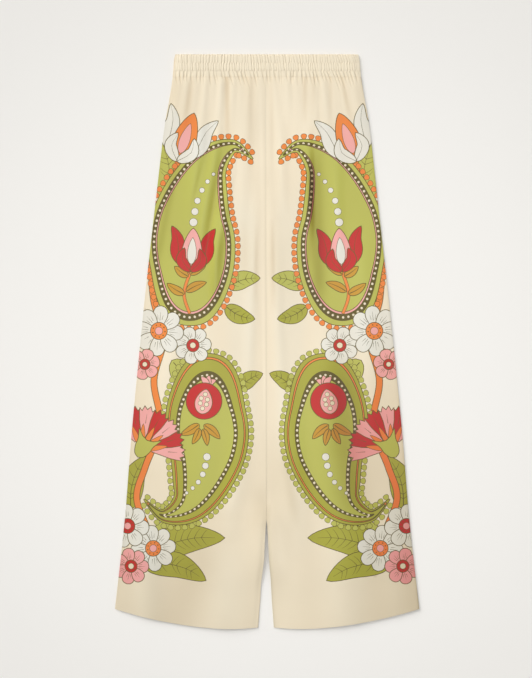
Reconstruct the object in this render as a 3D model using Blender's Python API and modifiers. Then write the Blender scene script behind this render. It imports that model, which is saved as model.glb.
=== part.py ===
"""Palazzo pants laid out flat with the front up: four leg panels and a gathered elastic waistband.

X runs across the garment, with the wearer's left at +X. +Y runs up to the waist. +Z points up
from the surface that the garment lies on. The origin is the middle of the base, in metres.
"""

import math
from collections import namedtuple

import bmesh
import bpy

# Driving dimensions.
LENGTH = 1.06          # waist edge to the lowest point of the hems
BAND_DEPTH = 0.0415    # waistband, from its top edge to the seam
CHANNEL_ROWS = (0.0157, 0.0300)  # the two rows of stitching, below the waist edge
SEAM_GAP = 0.0003      # between pieces that are sewn together
CLOTH = 0.0012         # wall of the leg panels
BAND_WALL = 0.0027     # wall of the waistband, with its elastic
BAND_MOUTH = 0.0005    # between the waistband's front and back
GATHERS = 60           # across the front of the waistband
GATHER_RISE = 0.0019   # from trough to crest
TOP_ROUND = 0.0022     # height of the waistband's rounded top edge
CROTCH = 0.305         # below the waist edge
HEM_LOW_ACROSS = 0.065  # how far from the middle the hem is lowest
HEM_REACH = 0.2175     # from there to the hem's outer corner
HEM_RISE = 0.0410      # how far the hem rises over that reach
BACK_HEM_SHORT = 0.0015  # the back hem ends this much above the front one
FRONT_LIE = 0.0029     # lowest lie of the front cloth's upper side, clear of the back cloth
EDGE_LIE = 0.0026      # height of the front cloth's rolled edges
SIDE_ROLL = 0.0050     # width of the rolled side edge
INSEAM_ROLL = 0.0032   # width of the rolled inside-leg edge
SEAM_DIP = 0.0100      # the folds fade over this width beside the centre seam
SEAM_SHARE = 0.15      # and keep this share of their height at it
SIDE_DIP = 0.0160      # the folds fade out over this width beside the side edge
PUFF = 0.0028          # how much the cloth stands up just below the waistband
PUFF_LENGTH = 0.16     # and how far down it does

# How finely each piece is divided.
PANEL_COLUMNS = 40
PANEL_ROWS = 32
ROW_CROWDING = 1.7     # above 1, a front panel's rows crowd towards the waist
INNER_CROWD = (0.0, 0.0007, 0.0022)  # columns beside a front panel's inner edge
SIDE_CROWD = (0.0, 0.0006, 0.0020, SIDE_ROLL)  # and beside its side edge
BACK_COLUMNS = 8
BACK_ROWS = 14
ROUND_STEPS = 4        # facets round each side fold of the waistband
BACK_STEPS = 16        # facets along the waistband's back

# The outline: distances from the middle, at a distance below the waist edge.
Edge = namedtuple("Edge", "below across")
SIDE_EDGE = [
    Edge(0.000, 0.1706),
    Edge(0.010, 0.1727),
    Edge(0.042, 0.1754),
    Edge(0.084, 0.1820),
    Edge(0.121, 0.1888),
    Edge(0.176, 0.1958),
    Edge(0.287, 0.2078),
    Edge(0.416, 0.2225),
    Edge(0.564, 0.2382),
    Edge(0.712, 0.2525),
    Edge(0.859, 0.2645),
    Edge(1.020, 0.2825),
    Edge(1.060, 0.2868),
]
INNER_EDGE = [
    Edge(0.000, 0.00015),
    Edge(0.305, 0.00020),
    Edge(0.500, 0.00040),
    Edge(0.800, 0.00060),
    Edge(0.860, 0.00120),
    Edge(0.896, 0.00300),
    Edge(0.970, 0.00700),
    Edge(1.007, 0.00980),
    Edge(1.060, 0.01650),
]

# Soft folds that fall from the gathers, one row each: the leg (-1 is the wearer's right), the
# place along the waist seam from the middle (0) to the side (1), the length and the height.
WaistFold = namedtuple("WaistFold", "leg place length height")
WAIST_FOLDS = [
    WaistFold(-1, 0.075, 0.140, 0.0006),
    WaistFold(-1, 0.180, 0.200, 0.0010),
    WaistFold(-1, 0.265, 0.090, 0.0005),
    WaistFold(-1, 0.350, 0.130, 0.0009),
    WaistFold(-1, 0.475, 0.260, 0.0014),
    WaistFold(-1, 0.560, 0.080, 0.0005),
    WaistFold(-1, 0.640, 0.230, 0.0013),
    WaistFold(-1, 0.735, 0.100, 0.0006),
    WaistFold(-1, 0.840, 0.130, 0.0011),
    WaistFold(1, 0.085, 0.120, 0.0008),
    WaistFold(1, 0.165, 0.080, 0.0005),
    WaistFold(1, 0.225, 0.110, 0.0009),
    WaistFold(1, 0.315, 0.160, 0.0006),
    WaistFold(1, 0.400, 0.090, 0.0005),
    WaistFold(1, 0.495, 0.150, 0.0008),
    WaistFold(1, 0.600, 0.230, 0.0011),
    WaistFold(1, 0.700, 0.100, 0.0006),
    WaistFold(1, 0.790, 0.140, 0.0010),
    WaistFold(1, 0.890, 0.080, 0.0005),
]
WAIST_FOLD_HALF = 0.0085   # half width at the seam, of a fold that falls from the gathers
WAIST_FOLD_SPREAD = 0.040  # how fast that half width grows with the distance below the seam
WAIST_FOLD_START = 0.45    # share of its height that such a fold has at the seam
WAIST_FOLD_SWELL = 0.014   # how far below the seam it has all of it

# The larger folds, one row each: the leg, where the fold's crest starts and ends (across and
# below), its half width and its height.
Fold = namedtuple("Fold", "leg across_1 below_1 across_2 below_2 half height")
FOLDS = [
    Fold(-1, 0.046, 0.060, 0.044, 0.360, 0.017, 0.0014),
    Fold(-1, 0.054, 0.150, 0.096, 0.400, 0.011, 0.0020),
    Fold(-1, 0.086, 0.120, 0.130, 0.380, 0.012, 0.0019),
    Fold(-1, 0.090, 0.290, 0.096, 0.480, 0.011, 0.0021),
    Fold(-1, 0.124, 0.110, 0.140, 0.330, 0.019, 0.0022),
    Fold(-1, 0.018, 0.230, 0.038, 0.660, 0.013, 0.0022),
    Fold(-1, 0.038, 0.620, 0.072, 0.900, 0.026, 0.0026),
    Fold(-1, 0.158, 0.330, 0.205, 0.780, 0.030, 0.0022),
    Fold(-1, 0.112, 0.420, 0.120, 0.860, 0.034, 0.0016),
    Fold(-1, 0.240, 0.780, 0.215, 1.110, 0.036, 0.0032),
    Fold(-1, 0.070, 0.860, 0.082, 1.110, 0.046, 0.0024),
    Fold(1, 0.026, 0.100, 0.032, 0.300, 0.012, 0.0012),
    Fold(1, 0.082, 0.090, 0.080, 0.400, 0.016, 0.0019),
    Fold(1, 0.128, 0.150, 0.134, 0.430, 0.014, 0.0024),
    Fold(1, 0.003, 0.240, 0.032, 0.700, 0.012, 0.0022),
    Fold(1, 0.036, 0.600, 0.066, 0.930, 0.028, 0.0026),
    Fold(1, 0.172, 0.300, 0.196, 0.740, 0.030, 0.0022),
    Fold(1, 0.104, 0.440, 0.118, 0.880, 0.032, 0.0016),
    Fold(1, 0.145, 0.740, 0.150, 1.110, 0.050, 0.0036),
    Fold(1, 0.225, 0.780, 0.245, 1.080, 0.030, 0.0012),
]


def read(table, below):
    """The smooth curve through a table of edges, at one distance below the waist edge."""
    last = len(table) - 2
    row = max([i for i in range(last + 1) if table[i].below <= below], default=0)
    a, b = table[row], table[row + 1]
    before = table[max(row - 1, 0)]
    after = table[min(row + 2, last + 1)]
    span = b.below - a.below
    slope_a = (b.across - before.across) / (b.below - before.below)
    slope_b = (after.across - a.across) / (after.below - a.below)
    t = (below - a.below) / span
    return (
        a.across * (1 + 2 * t) * (1 - t) ** 2
        + slope_a * span * t * (1 - t) ** 2
        + b.across * t * t * (3 - 2 * t)
        + slope_b * span * t * t * (t - 1)
    )


def ease(low, high, value):
    """0 below low, 1 above high, and a smooth rise between."""
    t = min(max((value - low) / (high - low), 0.0), 1.0)
    return t * t * (3 - 2 * t)


def hem_below(across):
    """How far the hem lies below the waist edge, at a distance from the middle."""
    return LENGTH - HEM_RISE * ((across - HEM_LOW_ACROSS) / HEM_REACH) ** 2


def waist_fold_rise(leg, across, below):
    """Height of the soft folds that fall from the gathers."""
    drop = below - BAND_DEPTH
    width = read(SIDE_EDGE, below)
    rise = 0.0
    for fold in WAIST_FOLDS:
        if fold.leg == leg and drop < fold.length:
            half = WAIST_FOLD_HALF + WAIST_FOLD_SPREAD * drop
            offset = (across - fold.place * width) / half
            start = WAIST_FOLD_START + (1 - WAIST_FOLD_START) * ease(0.0, WAIST_FOLD_SWELL, drop)
            fade = 1 - ease(0.2, 1.0, drop / fold.length)
            rise += fold.height * start * fade * math.exp(-2.0 * offset * offset)
    return rise


def fold_rise(leg, across, below):
    """Height of the larger folds, each a soft ridge that fades at both ends."""
    rise = 0.0
    for fold in FOLDS:
        if fold.leg == leg:
            along = (below - fold.below_1) / (fold.below_2 - fold.below_1)
            if 0 < along < 1:
                crest = fold.across_1 + (fold.across_2 - fold.across_1) * along
                offset = (across - crest) / fold.half
                fade = math.sin(math.pi * along) ** 0.8
                rise += fold.height * fade * math.exp(-1.6 * offset * offset)
    return rise


def rolled(height, distance, width):
    """The height near a rolled edge: a quarter round that drops to EDGE_LIE at the edge."""
    if distance >= width:
        return height
    turn = 1 - distance / width
    return EDGE_LIE + (height - EDGE_LIE) * math.sqrt(max(1 - turn * turn, 0.0))


def front_height(leg, across, below):
    """Height of the front cloth's upper side."""
    inner = read(INNER_EDGE, below)
    side = read(SIDE_EDGE, below)
    from_side = side - across
    from_inner = across - inner
    folds = waist_fold_rise(leg, across, below) + fold_rise(leg, across, below)
    puff = PUFF * (1 - ease(0.0, PUFF_LENGTH, below - BAND_DEPTH))
    seam_calm = SEAM_SHARE + (1 - SEAM_SHARE) * ease(0.0, SEAM_DIP, from_inner)
    height = FRONT_LIE + (folds * seam_calm + puff) * ease(0.0, SIDE_DIP, from_side)
    below_crotch = ease(CROTCH - 0.03, CROTCH + 0.03, below)
    inner_edge = rolled(height, from_inner, INSEAM_ROLL)
    height += (inner_edge - height) * below_crotch
    return rolled(height, from_side, SIDE_ROLL)


def column_distance(index, columns, width):
    """How far column index lies from a panel's inner edge. The columns crowd at both edges."""
    if index < len(INNER_CROWD):
        return INNER_CROWD[index]
    from_side = columns - index
    if from_side < len(SIDE_CROWD):
        return width - SIDE_CROWD[from_side]
    first, last = len(INNER_CROWD) - 1, columns - len(SIDE_CROWD) + 1
    start, end = INNER_CROWD[-1], width - SIDE_CROWD[-1]
    return start + (end - start) * (index - first) / (last - first)


def panel_place(down, distance_at, short):
    """Across and below for a place on a panel: down runs from 0 at the waist seam to 1 at the hem."""
    top = BAND_DEPTH + SEAM_GAP
    below = top + (LENGTH - top) * down
    for _ in range(4):
        inner = read(INNER_EDGE, below)
        across = inner + distance_at(read(SIDE_EDGE, below) - inner)
        below = top + (hem_below(across) - short - top) * down
    return across, below


def new_object(name, bm, colour, roughness):
    """An object of this mesh, in the garment's collection, with its own material."""
    mesh = bpy.data.meshes.new(name)
    bm.to_mesh(mesh)
    bm.free()
    material = bpy.data.materials.new(name)
    material.use_nodes = True
    shader = material.node_tree.nodes["Principled BSDF"]
    shader.inputs["Base Color"].default_value = (*colour, 1.0)
    shader.inputs["Roughness"].default_value = roughness
    shader.inputs["Metallic"].default_value = 0.0
    mesh.materials.append(material)
    mesh.shade_smooth()
    mesh.set_sharp_from_angle(angle=math.radians(60))
    obj = bpy.data.objects.new(name, mesh)
    garment.objects.link(obj)
    return obj


def add_wall(obj, thickness):
    """Gives an open sheet its wall, inwards from the side that its faces look to."""
    wall = obj.modifiers.new("wall", "SOLIDIFY")
    wall.thickness = thickness
    wall.offset = -1.0
    wall.use_rim = True


def sheet_grid(columns, rows):
    """A grid whose vertices carry their column and row, counted from the inner edge and the waist."""
    bm = bmesh.new()
    bmesh.ops.create_grid(bm, x_segments=columns, y_segments=rows, size=0.5)
    for vertex in bm.verts:
        vertex.co.x = round((vertex.co.x + 0.5) * columns)
        vertex.co.y = round((0.5 - vertex.co.y) * rows)
    return bm


def front_panel(name, leg):
    """One front leg panel: a cloth wall with the folds, rolled at its side and inside-leg edges."""
    bm = sheet_grid(PANEL_COLUMNS, PANEL_ROWS)
    for vertex in bm.verts:
        column, row = round(vertex.co.x), round(vertex.co.y)
        down = (row / PANEL_ROWS) ** ROW_CROWDING
        across, below = panel_place(down, lambda width: column_distance(column, PANEL_COLUMNS, width), 0.0)
        vertex.co = (leg * across, LENGTH / 2 - below, front_height(leg, across, below))
    face_up(bm)
    panel = new_object(name, bm, (0.83, 0.75, 0.60), 0.5)
    add_wall(panel, CLOTH)


def back_panel(name, leg):
    """One back leg panel, which lies flat on the surface."""
    bm = sheet_grid(BACK_COLUMNS, BACK_ROWS)
    for vertex in bm.verts:
        share, down = vertex.co.x / BACK_COLUMNS, vertex.co.y / BACK_ROWS
        across, below = panel_place(down, lambda width: share * width, BACK_HEM_SHORT)
        vertex.co = (leg * across, LENGTH / 2 - below, CLOTH)
    face_up(bm)
    panel = new_object(name, bm, (0.83, 0.75, 0.60), 0.5)
    add_wall(panel, CLOTH)


def face_up(bm):
    """Turns every face of a sheet to look up."""
    for face in bm.faces:
        face.normal_update()
        if face.normal.z < 0:
            face.normal_flip()


def gather_rise(step, below):
    """How far the waistband's front stands out at a gather's crest (even step) or trough (odd)."""
    rows = (0.0, *CHANNEL_ROWS, BAND_DEPTH)
    channel = max(i for i in range(3) if rows[i] <= below or i == 0)
    along = (below - rows[channel]) / (rows[channel + 1] - rows[channel])
    swell = math.sin(math.pi * min(max(along, 0.0), 1.0)) ** 0.7
    uneven = 0.75 + 0.25 * math.sin(2.3 * step + 1.9 * channel)
    crest = 0.5 if step % 2 == 0 else -0.5
    return GATHER_RISE * uneven * (0.30 + 0.70 * swell) * crest + 0.0006 * (swell - 1)


def gather_lean(step, below):
    """Sideways shift of a gather, a different one in each channel."""
    pitch = 2 * read(SIDE_EDGE, below) / GATHERS
    slant = math.exp(-((step / GATHERS - 1.25) / 0.16) ** 2) * (below / BAND_DEPTH - 0.5)
    return pitch * (0.16 * math.sin(1.7 * step + 190 * below) + 0.9 * slant)


def band_stations():
    """The places round the waistband: the step along its front if it is one there, the share of
    the half width, and the angle that the place faces (90 degrees is up)."""
    for step in range(2 * GATHERS + 1):
        yield step, step / GATHERS - 1, 90.0
    for i in range(1, ROUND_STEPS):
        yield None, 1.0, 90.0 - 180.0 * i / ROUND_STEPS
    for i in range(BACK_STEPS + 1):
        yield None, 1 - 2 * i / BACK_STEPS, -90.0
    for i in range(1, ROUND_STEPS):
        yield None, -1.0, 270.0 - 180.0 * i / ROUND_STEPS


def band_rows():
    """The rows of the waistband's wall: down its outside, then up its plain inside."""
    first, second = CHANNEL_ROWS
    upper = [0.0, TOP_ROUND, first / 2, first]
    lower = [(first + second) / 2, second, (second + BAND_DEPTH) / 2, BAND_DEPTH]
    return [(below, "outside") for below in upper + lower] + [(BAND_DEPTH, "inside"), (0.0, "inside")]


def band_point(station, row):
    """A point of the waistband's wall."""
    step, share, angle = station
    below, side_of_wall = row
    middle = BAND_WALL + BAND_MOUTH / 2
    turn = math.radians(angle)
    upward = (1 + math.sin(turn)) / 2
    reach = middle if side_of_wall == "outside" else BAND_MOUTH / 2
    if side_of_wall == "outside" and below == 0.0:
        reach *= 1 - 0.35 * upward
    half = read(SIDE_EDGE, below) - middle
    x = share * half + reach * math.cos(turn)
    z = middle + reach * math.sin(turn)
    if step is not None and side_of_wall == "outside":
        calm = ease(0.0, 3.0, min(step, 2 * GATHERS - step))
        x += gather_lean(step, below) * calm
        z += gather_rise(step, below) * calm
    return x, LENGTH / 2 - below, z


def waistband():
    """The waistband: a ring laid flat, its outside gathered over a plain inside."""
    stations = list(band_stations())
    rows = band_rows()
    bm = sheet_grid(len(stations), len(rows))
    for vertex in bm.verts:
        station = stations[round(vertex.co.x) % len(stations)]
        row = rows[round(vertex.co.y) % len(rows)]
        vertex.co = band_point(station, row)
    bmesh.ops.remove_doubles(bm, verts=bm.verts, dist=0.00001)
    bmesh.ops.recalc_face_normals(bm, faces=bm.faces)
    new_object("waistband", bm, (0.86, 0.78, 0.62), 0.5)


for old in list(bpy.data.objects):
    bpy.data.objects.remove(old, do_unlink=True)

garment = bpy.data.collections.new("palazzo_pants")
bpy.context.scene.collection.children.link(garment)

back_panel("back_leg_right", -1)
back_panel("back_leg_left", 1)
front_panel("front_leg_right", -1)
front_panel("front_leg_left", 1)
waistband()
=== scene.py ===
import math
from collections import namedtuple

import bmesh
import bpy
import numpy as np
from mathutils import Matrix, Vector, kdtree
from mathutils.geometry import delaunay_2d_cdt


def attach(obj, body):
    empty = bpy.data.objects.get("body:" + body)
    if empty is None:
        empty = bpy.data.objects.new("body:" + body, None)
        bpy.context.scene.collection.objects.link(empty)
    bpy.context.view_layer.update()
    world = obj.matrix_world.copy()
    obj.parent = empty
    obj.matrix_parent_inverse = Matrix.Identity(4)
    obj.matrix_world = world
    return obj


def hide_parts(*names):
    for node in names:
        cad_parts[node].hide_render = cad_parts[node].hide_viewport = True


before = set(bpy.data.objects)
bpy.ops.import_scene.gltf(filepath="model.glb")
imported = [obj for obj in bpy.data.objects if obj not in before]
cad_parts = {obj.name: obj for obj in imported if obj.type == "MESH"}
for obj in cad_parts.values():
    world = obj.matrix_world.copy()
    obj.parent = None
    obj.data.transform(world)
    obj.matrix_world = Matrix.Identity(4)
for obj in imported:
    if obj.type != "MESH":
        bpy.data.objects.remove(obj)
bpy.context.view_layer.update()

# ----------------------------------------------
# Back legs: two panels of satin-faced twill, cut as mirror images and printed before cutting.
# They lie flat on the surface, and each is sewn to its front panel at the side and inside leg.
# ----------------------------------------------

LENGTH = 1.06          # waist edge to the lowest point of the hems
BAND_DEPTH = 0.0415    # waistband, from its top edge to the seam
SEAM_GAP = 0.0001
HEM_LOW_ACROSS = 0.065  # how far from the middle the hem is lowest
HEM_REACH = 0.2175     # from there to the hem's outer corner
HEM_RISE = 0.0368      # how far the hem rises over that reach
HEM_BEND = 1.8         # above 1, the rise grows towards the corner
BACK_HEM_SHORT = 0.0015
CLOTH = 0.0005         # thickness of the cloth
BACK_LIE = 0.0006      # upper side of the back cloth

Edge = namedtuple("Edge", "below across")
SIDE_EDGE = [Edge(*row) for row in (
    (0.0, 0.1706), (0.01, 0.1727), (0.042, 0.1754), (0.084, 0.182), (0.121, 0.1888),
    (0.176, 0.1958), (0.287, 0.2078), (0.416, 0.2225), (0.564, 0.2382), (0.712, 0.2525),
    (0.859, 0.2645), (1.02, 0.2825), (1.06, 0.2868),
)]
INNER_EDGE = [Edge(*row) for row in (
    (0.0, 0.00005), (0.305, 0.00005), (0.8, 0.00008), (0.846, 0.0001), (0.859, 0.00014),
    (0.869, 0.0012), (0.896, 0.003), (0.915, 0.0038), (0.933, 0.0047), (0.952, 0.0067),
    (0.97, 0.0087), (0.989, 0.0099), (1.007, 0.0107), (1.026, 0.0122), (1.06, 0.0147),
)]
LIE = {                # how wide each leg lies, as a share of its cut: the wearer's right, left
    -1: [Edge(0.00, 0.978), Edge(0.14, 0.980), Edge(0.32, 0.987), Edge(0.60, 0.985), Edge(1.06, 0.983)],
    1: [Edge(0.00, 1.003), Edge(0.06, 1.005), Edge(0.20, 1.003), Edge(0.60, 1.002), Edge(1.06, 1.002)],
}
CROTCH_ASIDE = 0.0014  # how far towards the wearer's left the crotch lies


def read(table, below):
    """The smooth curve through a table of edges, at distances below the waist edge."""
    places = np.array([row.below for row in table])
    values = np.array([row.across for row in table])
    below = np.asarray(below, dtype=float)
    row = np.clip(np.searchsorted(places, below, side="right") - 1, 0, len(table) - 2)
    before, after = np.maximum(row - 1, 0), np.minimum(row + 2, len(table) - 1)
    span = places[row + 1] - places[row]
    slope_a = (values[row + 1] - values[before]) / (places[row + 1] - places[before])
    slope_b = (values[after] - values[row]) / (places[after] - places[row])
    t = (below - places[row]) / span
    return (
        values[row] * (1 + 2 * t) * (1 - t) ** 2
        + slope_a * span * t * (1 - t) ** 2
        + values[row + 1] * t * t * (3 - 2 * t)
        + slope_b * span * t * t * (t - 1)
    )


def ease(low, high, value):
    """0 below low, 1 above high, and a smooth rise between."""
    t = np.clip((value - low) / (high - low), 0.0, 1.0)
    return t * t * (3 - 2 * t)


def bell(offset):
    """1 at no offset, and a smooth fall on both sides of it."""
    return np.exp(-offset * offset)


def hem_below(across):
    """How far the hem lies below the waist edge, at distances from the middle."""
    return LENGTH - HEM_RISE * np.abs((across - HEM_LOW_ACROSS) / HEM_REACH) ** HEM_BEND


# The print. Its outlines are drawn in metres from the side edge: u runs in across the leg and
# v runs down the side from the waist seam. Headings turn from u (0) up towards the waist (90).
DYES = {
    "ground": (0.856, 0.757, 0.575),
    "green": (0.490, 0.490, 0.095),
    "moss": (0.395, 0.380, 0.036),
    "olive": (0.110, 0.083, 0.004),
    "orange": (0.840, 0.245, 0.040),
    "gold": (0.570, 0.300, 0.020),
    "white": (0.790, 0.765, 0.675),
    "cream": (0.810, 0.710, 0.515),
    "pink": (0.865, 0.415, 0.385),
    "crimson": (0.540, 0.013, 0.010),
}
LINE = 0.0013          # width of the printed outlines
SIDE_LEAN = math.atan(0.1027)   # lean of the straight side edge
SIDE_START = 0.1820    # across, where the straight side edge meets the waist seam
print_forms = []


def smooth_path(knots, steps):
    """A smooth path through its knots."""
    path = []
    last = len(knots) - 1
    for i in range(last):
        a, b = knots[i], knots[i + 1]
        before, after = knots[max(i - 1, 0)], knots[min(i + 2, last)]
        for k in range(steps):
            t = k / steps
            start, end = (1 + 2 * t) * (1 - t) ** 2, t * t * (3 - 2 * t)
            leave, arrive = t * (1 - t) ** 2 / 2, t * t * (t - 1) / 2
            path.append(
                tuple(
                    a[n] * start + (b[n] - before[n]) * leave + b[n] * end + (after[n] - a[n]) * arrive
                    for n in (0, 1)
                )
            )
    path.append(tuple(knots[-1]))
    return path


def sideways(path, i):
    """The direction across a path at one of its points."""
    a, b = path[max(i - 1, 0)], path[min(i + 1, len(path) - 1)]
    size = math.hypot(b[0] - a[0], b[1] - a[1])
    return (a[1] - b[1]) / size, (b[0] - a[0]) / size


def blade(knots, width, shape, steps=7):
    """An outline that follows a path; shape gives the share of the width along it."""
    path = smooth_path(knots, steps)
    left, right = [], []
    for i, (u, v) in enumerate(path):
        side_u, side_v = sideways(path, i)
        half = width / 2 * shape(i / (len(path) - 1))
        left.append((u + side_u * half, v + side_v * half))
        right.append((u - side_u * half, v - side_v * half))
    if shape(0) == 0:
        left = left[1:]
    if shape(1) == 0:
        left = left[:-1]
    return left + right[::-1]


def pointed(t):
    """A leaf: a point at each end."""
    return max(math.sin(math.pi * t ** 0.8), 0.0) ** 0.9 if 0 < t < 1 else 0


def rounded(t):
    """A petal: narrow at its root and round at its end."""
    return max(math.sin(math.pi * t ** 1.5), 0.0) ** 0.6 if 0 < t < 1 else 0


def even(t):
    """A stem."""
    return 1.0


def tapering(t):
    """A vein."""
    return 1.0 - 0.75 * t


def disc(u, v, radius, sides=26):
    """A round spot."""
    turns = [2 * math.pi * k / sides for k in range(sides)]
    return [(u + radius * math.cos(turn), v + radius * math.sin(turn)) for turn in turns]


def reach(u, v, heading, length, side=0.0):
    """The place that lies this far along a heading, and this far to its left."""
    turn = math.radians(heading)
    return (
        u + length * math.cos(turn) - side * math.sin(turn),
        v - length * math.sin(turn) - side * math.cos(turn),
    )


def reached(u, v, heading, length, width, shares):
    """A path through places given as shares of a length along a heading and a width to its left."""
    return [reach(u, v, heading, length * t, width * s) for t, s in shares]


def straight(u, v, heading, length, shares):
    """A straight path through shares of a length along a heading."""
    return [reach(u, v, heading, length * t) for t in shares]


def sides_of(outline):
    """The two ends of each side of an outline."""
    return zip(outline, outline[1:] + outline[:1])


def turn_of(outline):
    """1 for an outline that runs anticlockwise, and -1 for a clockwise one."""
    return math.copysign(1.0, sum(a[0] * b[1] - b[0] * a[1] for a, b in sides_of(outline)))


def grown(outline, amount):
    """The outline moved outwards by an even amount."""
    sign = turn_of(outline)
    normals = []
    for a, b in sides_of(outline):
        size = math.hypot(b[0] - a[0], b[1] - a[1]) or 1.0
        normals.append((sign * (b[1] - a[1]) / size, sign * (a[0] - b[0]) / size))
    moved = []
    for i, (u, v) in enumerate(outline):
        out_u, out_v = (normals[i - 1][k] + normals[i][k] for k in (0, 1))
        size = math.hypot(out_u, out_v) or 1.0
        push = amount / max(size / 2, 0.5) / size
        moved.append((u + out_u * push, v + out_v * push))
    return moved


def dye(name, outline):
    """Prints a plain form."""
    print_forms.append((name, outline))


def inked(name, outline, line=LINE):
    """Prints a form with its fine olive outline."""
    dye("olive", grown(outline, line))
    dye(name, outline)


def stroke(knots, width=0.0011):
    """A fine olive line that tapers."""
    dye("olive", blade(knots, width, tapering, 3))


def leaf(u, v, heading, length, width, bend, name, veins):
    """A bent leaf with its midrib and side veins."""
    knots = [(u, v), reach(u, v, heading, length / 2, bend * length), reach(u, v, heading, length)]
    inked(name, blade(knots, width, pointed))
    path = smooth_path(knots, 7)
    last = len(path) - 1
    stroke([path[round(last * t)] for t in (0.06, 0.33, 0.62, 0.86)], 0.0017)
    for k in range(veins):
        i = round((0.18 + 0.55 * k / (veins - 1)) * last)
        side_u, side_v = sideways(path, i)
        half = width / 2 * pointed(i / last)
        for side in (1, -1):
            root = path[i]
            tip = (
                root[0] + (side * side_u * 0.72 + side_v * 0.55) * half,
                root[1] + (side * side_v * 0.72 - side_u * 0.55) * half,
            )
            middle = (
                (root[0] + tip[0]) / 2 + side * side_u * half * 0.08,
                (root[1] + tip[1]) / 2 + side * side_v * half * 0.08,
            )
            stroke([root, middle, tip])


def blossom(u, v, radius, petals, turn, name, eye, heart):
    """An open flower: round petals with three fine lines each, and an eye in a ring of spots."""
    width = 2 * math.pi * radius * 0.73 / petals
    for k in range(petals):
        heading = turn + 360 * k / petals
        inked(name, blade(straight(u, v, heading, radius, (0.12, 0.55, 1.0)), width, rounded, 8))
        for side, near, far in ((-0.11, 0.46, 0.66), (0.0, 0.42, 0.78), (0.11, 0.46, 0.66)):
            shares = (near, (near + far) / 2, far)
            stroke([reach(u, v, heading, radius * t, radius * side * t * 1.6) for t in shares], 0.0009)
    inked(eye, disc(u, v, radius * 0.33))
    for k in range(9):
        dye("olive", disc(*reach(u, v, 40 * k, radius * 0.25), radius * 0.027, 8))
    inked(heart, disc(u, v, radius * 0.15, 20), 0.0008)


def tulip(u, v, heading, length, width, outer, inner, core):
    """A cup of pointed petals: two that lean out, one inside them with a core, and two low ones."""
    for side in (1, -1):
        lean = ((0.0, 0.0), (0.35, 0.34), (0.72, 0.40), (1.0, 0.56))
        knots = reached(u, v, heading, length, side * width, lean)
        inked(outer, blade(knots, width * 0.36, pointed))
        stroke(knots[1:], 0.0010)
    inked(inner, blade(straight(u, v, heading, length, (0.02, 0.50, 0.98)), width * 0.50, pointed, 9))
    knots = straight(u, v, heading, length, (0.14, 0.45, 0.76))
    inked(core, blade(knots, width * 0.22, pointed), 0.0008)
    for side in (1, -1):
        lean = ((-0.03, 0.0), (0.22, 0.26), (0.50, 0.20))
        knots = reached(u, v, heading, length, side * width, lean)
        inked(outer, blade(knots, width * 0.26, pointed))
        stroke([reach(u, v, heading, length * t, side * width * s * 0.9) for t, s in lean], 0.0009)


PAISLEY_HEART = 0.30   # share of a paisley's path at which its body is widest


def paisley_outline(knots, width, share):
    """A round body and a long curved tail along a path. A smaller share lies inside a larger one."""
    path = smooth_path(knots, 14)
    start = PAISLEY_HEART * (1 - share)
    end = 1 - 0.62 * (1 - share)
    left, right = [], []
    steps = 64
    for k in range(steps + 1):
        t = start + (end - start) * (1 - math.cos(math.pi * k / steps)) / 2
        i = min(int(t * (len(path) - 1)), len(path) - 2)
        part = t * (len(path) - 1) - i
        side = [sideways(path, i)[n] * (1 - part) + sideways(path, i + 1)[n] * part for n in (0, 1)]
        place = [path[i][n] * (1 - part) + path[i + 1][n] * part for n in (0, 1)]
        if t < PAISLEY_HEART:
            half = math.sqrt(max(1 - ((PAISLEY_HEART - t) / (PAISLEY_HEART * share)) ** 2, 0.0))
        else:
            tail = (t - PAISLEY_HEART) / (end - PAISLEY_HEART)
            half = 0.5 * (1 + math.cos(math.pi * tail ** 0.80)) * 0.96
            half += 0.04 * math.sqrt(max(1 - tail ** 6, 0.0))
        half *= width / 2 * share
        left.append((place[0] + side[0] * half, place[1] + side[1] * half))
        right.append((place[0] - side[0] * half, place[1] - side[1] * half))
    return left[1:-1] + right[::-1]


def along_outline(outline, pitch):
    """Places an even pitch apart round an outline, each with its outward direction."""
    sign = turn_of(outline)
    steps = [math.dist(a, b) for a, b in sides_of(outline)]
    total = round(sum(steps) / pitch)
    places, gone, i = [], 0.0, 0
    for k in range(total):
        goal = sum(steps) * k / total
        while gone + steps[i] < goal:
            gone += steps[i]
            i += 1
        a, b = outline[i], outline[(i + 1) % len(outline)]
        part = (goal - gone) / steps[i]
        out = (sign * (b[1] - a[1]) / steps[i], sign * (a[0] - b[0]) / steps[i])
        places.append(((a[0] + (b[0] - a[0]) * part, a[1] + (b[1] - a[1]) * part), out))
    return places


def fringe(outline, pitch, length, name):
    """Small drops that stand all round an outline."""
    for (u, v), (out_u, out_v) in along_outline(outline, pitch):
        knots = [(u + out_u * length * t, v + out_v * length * t) for t in (0.0, 0.5, 1.0)]
        inked(name, blade(knots, pitch * 0.80, rounded, 4), 0.0008)


def spots(outline, pitch, radius, name):
    """A row of spots round an outline."""
    for place, _ in along_outline(outline, pitch):
        dye(name, disc(*place, radius, 10))


def spot_row(knots, count, radius, last_share, name):
    """Spots along a path, which shrink to a share of their size."""
    path = smooth_path(knots, 16)
    for k in range(count):
        t = k / (count - 1)
        size = radius * (1 + (last_share - 1) * t)
        inked(name, disc(*path[round(t * (len(path) - 1))], size, 14), 0.0007)


def paisley(knots, width, edging, layers, ring, pitch):
    """A paisley with drops all round it and one form inside another. A ring of cream spots, at its
    own share of the outline, lies on the olive form."""
    fringe(paisley_outline(knots, width, 1.0), 0.0125, 0.0105, edging)
    for name, share in layers:
        inked(name, paisley_outline(knots, width, share))
        if name == "olive":
            spots(paisley_outline(knots, width, ring), pitch, 0.0023, "cream")


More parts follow.
